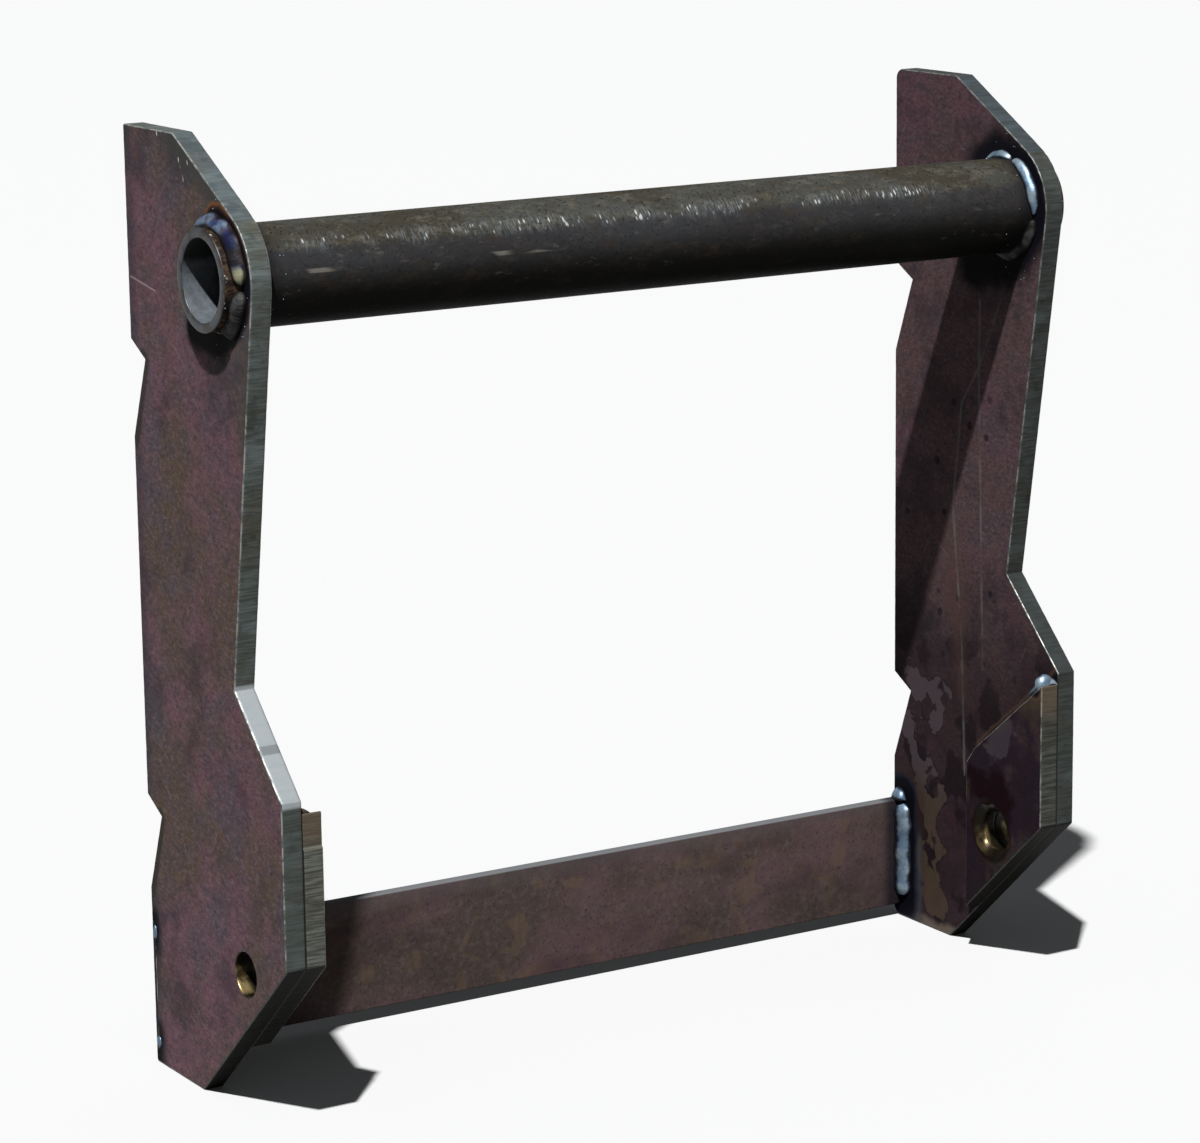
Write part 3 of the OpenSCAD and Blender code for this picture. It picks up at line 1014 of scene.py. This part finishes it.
def rub_marks_and_glints(paint, front):
    """Short bright strokes in a row where the pipe rubbed on its neighbours, painted as bright as
    their glints.
    """
    here = paint.patches(0.42, 0.50, 0.040, 2.0, 0.6, (0.8, 1, 1), seed=73.0)
    extent = paint.times(paint.step(paint.x, -0.31, -0.29), paint.step(paint.x, 0.25, 0.235))
    place = paint.times(extent, here, front)
    stroke = nicks(paint, 0.0024, (1, 0.28, 0.28), 0, 71.0, 0.42)
    off = paint.apart(paint.z, 0.6275)
    row = paint.step(off, 0.0045, 0.0020)
    paint.coat(paint.times(stroke, row, place), (118, 121, 120))
    # A pale band round the marks: brushed rubbing, and a painted highlight.
    rub_and_sheen = paint.times(paint.step(off, 0.008, 0.001), place)
    brushed = paint.patches(0.46, 0.62, 0.0012, 2.0, 0.7, (1, 0.15, 0.15), seed=75.0)
    paint.coat(paint.times(rub_and_sheen, brushed), (78, 82, 84), 0.35)
    low = paint.step(paint.apart(paint.z, 0.610), 0.002, 0.001)
    dull = paint.patches(0.58, 0.64, 0.02, 2.0, 0.6, (0.3, 1, 1), seed=79.0)
    dash = paint.times(low, dull, paint.times(front, 0.35))
    paint.coat(dash, (100, 98, 90))


def tube_end_paint(name):
    """The pipe's sawn ends: blue grey with fine saw lines."""
    paint = Paint(name)
    saw = paint.noise(0.0006, 2.0, 0.5, (1, 1, 0.05), 20, 3.0)
    stain = paint.noise(0.012, 3.0, 0.6, seed=6.0)
    paint.colour = paint.mix(paint.step(stain, 0.42, 0.56), srgb(34, 38, 42), srgb(24, 19, 17))
    return paint.finish(0.42, 0.25, paint.times(saw, 0.00008), specular=0.3)


def tube_bore_paint(name):
    """The pipe's inside: grey at the mouth, with painted shade making it black further in and along
    the top.
    """
    paint = Paint(name)
    fine = paint.noise(0.006, 4.0, 0.65)
    paint.colour = paint.mix(paint.step(fine, 0.38, 0.62), srgb(55, 59, 63), srgb(46, 49, 52))
    # Painted shade: black deep in the bore and on its upper wall.
    deep = paint.step(paint.abs_x(), TUBE_HALF - 22 * MM, TUBE_HALF - 32 * MM)
    above = paint.step(paint.z, TUBE_Z + 6 * MM, TUBE_Z + 14 * MM)
    paint.coat(paint.most(deep, above), (6, 6, 6), 0.9)
    return paint.finish(0.8, 0.0, paint.times(fine, 0.0003), specular=0.1)


def bar_paint(name):
    """The flat bar's purple scale, with a painted highlight on its top corner and burnt ends."""
    paint = Paint(name)
    cloud = paint.noise(0.09, 4.0, 0.6, (0.6, 1, 1))
    fine = paint.noise(0.005, 4.0, 0.7, seed=4.0)
    pit = paint.noise(0.0026, 3.0, 0.7, seed=8.0)
    paint.colour = paint.mix(paint.step(cloud, 0.40, 0.58), srgb(55, 42, 44), srgb(44, 37, 34))
    paint.coat(paint.step(fine, 0.46, 0.66), (57, 50, 49), 0.65)
    paint.coat(paint.step(pit, 0.46, 0.34), (22, 16, 17), 0.6)
    swirl = paint.patches(0.54, 0.64, 0.035, 3.0, 0.5, warp=1.2, seed=12.0)
    paint.coat(swirl, (64, 52, 40), 0.35)
    dark = paint.patches(0.50, 0.64, 0.07, 3.0, 0.6, (0.5, 1, 1), seed=14.0)
    paint.coat(dark, (27, 20, 22), 0.4)
    band = paint.step(paint.plus(paint.z, cloud, 0.02), 0.094, 0.106)
    paint.coat(band, (49, 45, 45), 0.5)
    # Painted highlight along the top corner.
    top = paint.step(paint.z, bar_high.z - 1.2 * MM, bar_high.z - 0.2 * MM)
    paint.coat(top, (72, 75, 77), 0.7)
    burnt = paint.plus(paint.abs_x(), fine, 0.01)
    near = paint.step(burnt, INNER_X - 16 * MM, INNER_X - 4 * MM)
    paint.coat(near, (13, 12, 17), 0.8)
    rough = paint.add(paint.times(cloud, 0.3), 0.28)
    height = paint.plus(paint.times(fine, 0.0003), pit, 0.00008)
    return paint.finish(rough, 0.05, height, specular=0.02)


def bead_paint(name, silver, blue, toe, roughness, metallic, tinted=False):
    """Weld metal: blue silver on the crown and dark oxide at the toes."""
    paint = Paint(name)
    across = paint.attribute("across")
    fine = paint.noise(0.002, 3.0, 0.6)
    cloud = paint.noise(0.012, 3.0, 0.6, seed=3.0)
    middle = paint.apart(across, 0.5)
    edge = paint.step(paint.plus(middle, cloud, 0.45), 0.36, 0.58)
    paint.colour = paint.mix(paint.step(cloud, 0.36, 0.62), silver, blue)
    if tinted:
        burnt = paint.patches(0.55, 0.63, 0.007, 3.0, 0.6, seed=13.0)
        paint.coat(burnt, (52, 38, 30), 0.5)
        navy = paint.plus(paint.ring(174, 634), cloud, 0.008)
        paint.coat(paint.step(navy, 0.016, 0.009), (10, 12, 32), 0.9)
        gap = paint.plus(paint.ring(182, 624), cloud, 0.006)
        paint.coat(paint.step(gap, 0.013, 0.007), (15, 13, 9), 0.92)
        crater = paint.plus(paint.ring(187, 611), cloud, 0.006)
        paint.coat(paint.step(crater, 0.012, 0.006), (98, 98, 80))
    paint.coat(edge, toe, 0.95)
    rough = paint.add(paint.times(fine, 0.15), roughness)
    height = paint.plus(paint.times(fine, 0.00012), cloud, 0.00020)
    return paint.finish(rough, metallic, height, specular=0.05)


# ---------------------------------------------------------------- build the pieces

tube_end = tube_end_paint("tube_end_sawn")
tube_bore = tube_bore_paint("tube_bore_scale")
bore = bore_paint("pin_bore_drilled")
bright = bead_paint(
    "weld_bright_bead", srgb(98, 110, 118), srgb(70, 86, 102), srgb(10, 10, 15), 0.34, 0.65
)
tinted = bead_paint(
    "weld_tinted_bead", srgb(64, 74, 88), srgb(24, 32, 58), srgb(14, 9, 8), 0.38, 0.35, True
)
brown = bead_paint(
    "weld_brown_bead", srgb(58, 46, 36), srgb(40, 33, 30), srgb(12, 9, 8), 0.45, 0.3
)
dull = bead_paint("weld_dull_bead", srgb(38, 39, 38), srgb(12, 11, 10), srgb(5, 4, 4), 0.52, 0.1)

for word, side in SIDES.items():
    # The left plate's scale is painted brighter than the right's by a factor 1.2: partly tone, partly
    # painted light for the less sky light on the right plate's inner face.
    faces = plate_paint(f"plate_scale_{word}", side, 1.20 if side < 0 else 1.00)
    cut = cut_paint(f"plate_cut_{word}", side)
    arris = arris_paint(f"plate_arris_{word}", side)
    inner = doubler_paint(f"doubler_scale_{word}", side, 0.60)
    plate_piece(
        f"side_plate_{word}_steel", f"side_plate_{word}", side * OUTER_X, side * INNER_X,
        [(cut_depth, 0.0, CUT), (drilled_depth, 0.0, BORE)], [faces, cut, bore, arris],
        side,
    )
    plate_piece(
        f"pin_doubler_{word}_steel", f"pin_doubler_{word}", side * DOUBLER_X, side * INNER_X,
        [(drilled_depth, LEAD_IN, BORE)], [inner, cut, bore, arris], side + 5,
        1.3 * MM if side < 0 else 0.0,
    )

tube_piece([tube_paint("tube_scale"), tube_end, tube_bore])
bar_piece([bar_paint("bar_scale")])


def weld(place, stations, paint, seed, **shape):
    """The bead that stands for the CAD weld at a place. shape goes to bead_mesh."""
    bead_piece(
        f"bead_{place}", stations, [paint], "weld_dull" if paint is dull else "weld_bright",
        [f"weld_{place}"], seed, **shape,
    )


def tube_beads(word, side):
    """The two beads outside a side plate and the three inside it, round the tube."""
    outer = [("outer_upper", (0, 128), tinted), ("outer_lower", (-68, -6), dull)]
    for name, arc, paint in outer:
        stations = ring_stations(side, OUTER_X, 1, arc, 9.2 * MM, 8 * MM)
        ripple = (0.30 if paint is dull else 0.08) * MM
        weld(f"tube_{name}_{word}", stations, paint, side + arc[0], ripple=ripple, pitch=2.4 * MM)
    inner = [
        ("inner_crown", (78, 128), bright), ("inner_front", (-6, 73), bright),
        ("inner_under", (-104, -12), dull),
    ]
    for name, arc, paint in inner:
        stations = ring_stations(side, INNER_X, -1, arc, 6.4 * MM, 6.4 * MM)
        weld(f"tube_{name}_{word}", stations, paint, side + arc[0], taper=2.2)


def bar_beads(word, side):
    """The front, top and rear welds at one end of the cross bar."""
    x = side * INNER_X
    inwards = Vector((-side, 0, 0))
    forward = Vector((0, -1, 0))
    up = Vector((0, 0, 1))
    front_y = bar_low.y
    stations = straight_stations(
        Vector((x, front_y, bar_low.z + 8 * MM)), Vector((x, front_y, bar_high.z - 2 * MM)),
        forward, inwards, 14 * MM, 7 * MM,
    )
    weld(f"bar_front_{word}", stations, bright, side + 3, ripple=0.015 * MM)
    stations = straight_stations(
        Vector((x, REAR_Y - 1 * MM, bar_high.z)), Vector((x, front_y - 7 * MM, bar_high.z)),
        up, inwards, 9 * MM, 7 * MM,
    )
    weld(f"bar_top_{word}", stations, bright, side + 4)
    stations = straight_stations(
        Vector((x, REAR_Y - 1 * MM, bar_low.z)), Vector((x, REAR_Y - 1 * MM, bar_high.z)),
        forward, inwards, 4 * MM, 5 * MM,
    )
    weld(f"bar_rear_{word}", stations, bright, side + 5, ripple=0.2 * MM)


def top_height(depth):
    """Height of the doubler's top edge at a depth, both in millimetres."""
    share = (depth - DOUBLER_REAR) / (DOUBLER_FRONT - DOUBLER_REAR)
    return REAR_TOP + (FRONT_TOP - REAR_TOP) * share


def doubler_beads(word, side):
    """The corner tack, the top bead and the rear bead of one doubler."""
    inwards = Vector((-side, 0, 0))

    def spot(depth, height):
        flat = at(depth, height)
        return Vector((side * INNER_X, flat.x, flat.y))

    rise = (spot(DOUBLER_FRONT, FRONT_TOP) - spot(DOUBLER_REAR, REAR_TOP)).normalized()
    up = Vector((0, rise.z, -rise.y))
    tack = bright if side > 0 else brown
    tack_end = 216 if side > 0 else 213
    runs = [
        ("tack", spot(193, top_height(193)), spot(tack_end, top_height(tack_end)), up, 10, 15, tack),
        ("top", spot(132, top_height(132)), spot(197, top_height(197)), up, 4.5, 4.5, dull),
        ("rear", spot(DOUBLER_REAR, 48), spot(DOUBLER_REAR, 158), Vector((0, 1, 0)), 4.5, 4.5, dull),
    ]
    for name, start, end, away, leg, width, paint in runs:
        stations = straight_stations(start, end, away, inwards, leg * MM, width * MM)
        weld(f"doubler_{name}_{word}", stations, paint, side + 8)


for word, side in SIDES.items():
    tube_beads(word, side)
    bar_beads(word, side)
    doubler_beads(word, side)

# ---------------------------------------------------------------- weld spatter


def lumps_piece(name, lumps, paint, seed):
    """Low round lumps of weld metal in one mesh: (centre, radii along x, y and z)."""
    rings = 7
    around = 12
    vertices = []
    faces = []
    for number, (centre, radii) in enumerate(lumps):
        start = len(vertices)
        for row in range(rings + 1):
            polar = math.pi * row / rings
            for i in range(around):
                turn = 2 * math.pi * i / around
                ray = Vector((math.cos(polar), math.sin(polar) * math.cos(turn),
                              math.sin(polar) * math.sin(turn)))
                swell = 1 + 0.22 * noise.noise(ray * 1.3 + Vector((seed, number, 0)))
                vertices.append(centre + Vector(r * c for r, c in zip(radii, ray)) * swell)
        faces += skin(rings + 1, around, start)
    piece = new_piece(name, vertices, faces, [paint])
    set_attribute(piece.data, "across", [0.5] * len(vertices))
    return piece


def on_plate(loop, point):
    """True for a (y, z) point inside a closed outline and at least 2 mm from its edge."""
    crossings = 0
    for a, b in zip(loop, loop[1:] + loop[:1]):
        if (point - intersect_point_line(point, a, b)[0]).length < 2 * MM:
            return False
        if (a.y > point.y) != (b.y > point.y):
            cut = a.x + (point.y - a.y) * (b.x - a.x) / (b.y - a.y)
            crossings += cut > point.x
    return crossings % 2 == 1


def spatter(word, side):
    """Droplets stuck round the tube's welds, thickest near the beads."""
    rng = random.Random(40 + side)
    outline = face_loops(f"side_plate_{word}", side * INNER_X)[0]
    lumps = []
    for index in range(30):
        angle = math.radians(rng.uniform(-95, 140))
        radius = TUBE_R + 9 * MM + abs(rng.gauss(0, 9)) * MM
        flat = Vector((TUBE_Y - radius * math.cos(angle), TUBE_Z + radius * math.sin(angle)))
        x = side * (OUTER_X if index % 2 == 0 else INNER_X)
        size = rng.uniform(0.25, 0.6) * MM
        if on_plate(outline, flat):
            lumps.append((Vector((x, flat.x, flat.y)), (size * 0.7, size, size)))
    for index in range(14):
        angle = math.radians(rng.uniform(-60, 130))
        inner = rng.random() < 0.5
        x = side * (rng.uniform(INNER_X - 26 * MM, INNER_X - 8 * MM) if inner else TUBE_HALF - 2 * MM)
        size = rng.uniform(0.3, 0.6) * MM
        where = Vector((x, TUBE_Y - math.cos(angle) * TUBE_R, TUBE_Z + math.sin(angle) * TUBE_R))
        lumps.append((where, (size, size, size)))
    lumps_piece(f"spatter_{word}", lumps, bright, side)


for word, side in SIDES.items():
    spatter(word, side)
    face = side * OUTER_X
    ends = [(5.2, 101.5, (1.3, 2.6, 5.0)), (5.4, 16.0, (1.4, 3.4, 4.2))]  # depth, height, radii
    lumps_piece(
        f"rear_weld_ends_{word}",
        [(Vector((face, *at(d, z))), [r * MM for r in radii]) for d, z, radii in ends],
        bright, side + 9,
    )

crown = Vector((INNER_X - 8 * MM, *at(209.5, 239)))
lumps_piece("tack_crown_right", [(crown, [8 * MM, 5.6 * MM, 7.5 * MM])], bright, 1)

# ---------------------------------------------------------------- stage


def floor_piece():
    """A plain grey floor just under the feet, much wider than the view."""
    half = 40
    gap = 0.3 * MM
    mesh = bpy.data.meshes.new("floor")
    corners = [(-half, -half), (half, -half), (half, half), (-half, half)]
    mesh.from_pydata([(x, y, -gap) for x, y in corners], [], [[0, 1, 2, 3]])
    paint = Paint("floor_paint")
    paint.colour = srgb(131, 131, 131)
    mesh.materials.append(paint.finish(0.9, 0.0))
    floor = bpy.data.objects.new("floor", mesh)
    bpy.context.scene.collection.objects.link(floor)


def light_stage():
    """A dim even sky, and one sun that shines down from the front left."""
    way = Vector((0.343, 0.367, -0.865))
    world = bpy.data.worlds.new("studio")
    bpy.context.scene.world = world
    world.use_nodes = True
    background = world.node_tree.nodes["Background"]
    background.inputs["Color"].default_value = (0.93, 0.97, 1.0, 1.0)
    background.inputs["Strength"].default_value = 0.22
    key = bpy.data.lights.new("key", "SUN")
    key.energy = 14
    key.angle = math.radians(1.5)
    lamp = bpy.data.objects.new("key", key)
    lamp.rotation_mode = "QUATERNION"
    lamp.rotation_quaternion = way.to_track_quat("-Z", "Y")
    bpy.context.scene.collection.objects.link(lamp)
    bpy.context.scene.view_settings.view_transform = "Standard"


def aim_camera():
    """The photograph's view, resolved from the frame's own parallel planes."""
    place = (-1.57206, -2.53505, 0.99652)
    data = bpy.data.cameras.new("camera")
    data.lens = 121.97
    data.sensor_width = 36
    camera = bpy.data.objects.new("camera", data)
    right = Vector((0.8512, -0.5246, -0.0122)).normalized()
    up = Vector((0.1212, 0.1740, 0.9773))
    back = right.cross(up).normalized()
    up = back.cross(right)
    camera.matrix_world = Matrix([
        [right.x, up.x, back.x, place[0]],
        [right.y, up.y, back.y, place[1]],
        [right.z, up.z, back.z, place[2]],
        [0, 0, 0, 1],
    ])
    bpy.context.scene.collection.objects.link(camera)
    bpy.context.scene.camera = camera


floor_piece()
light_stage()
aim_camera()
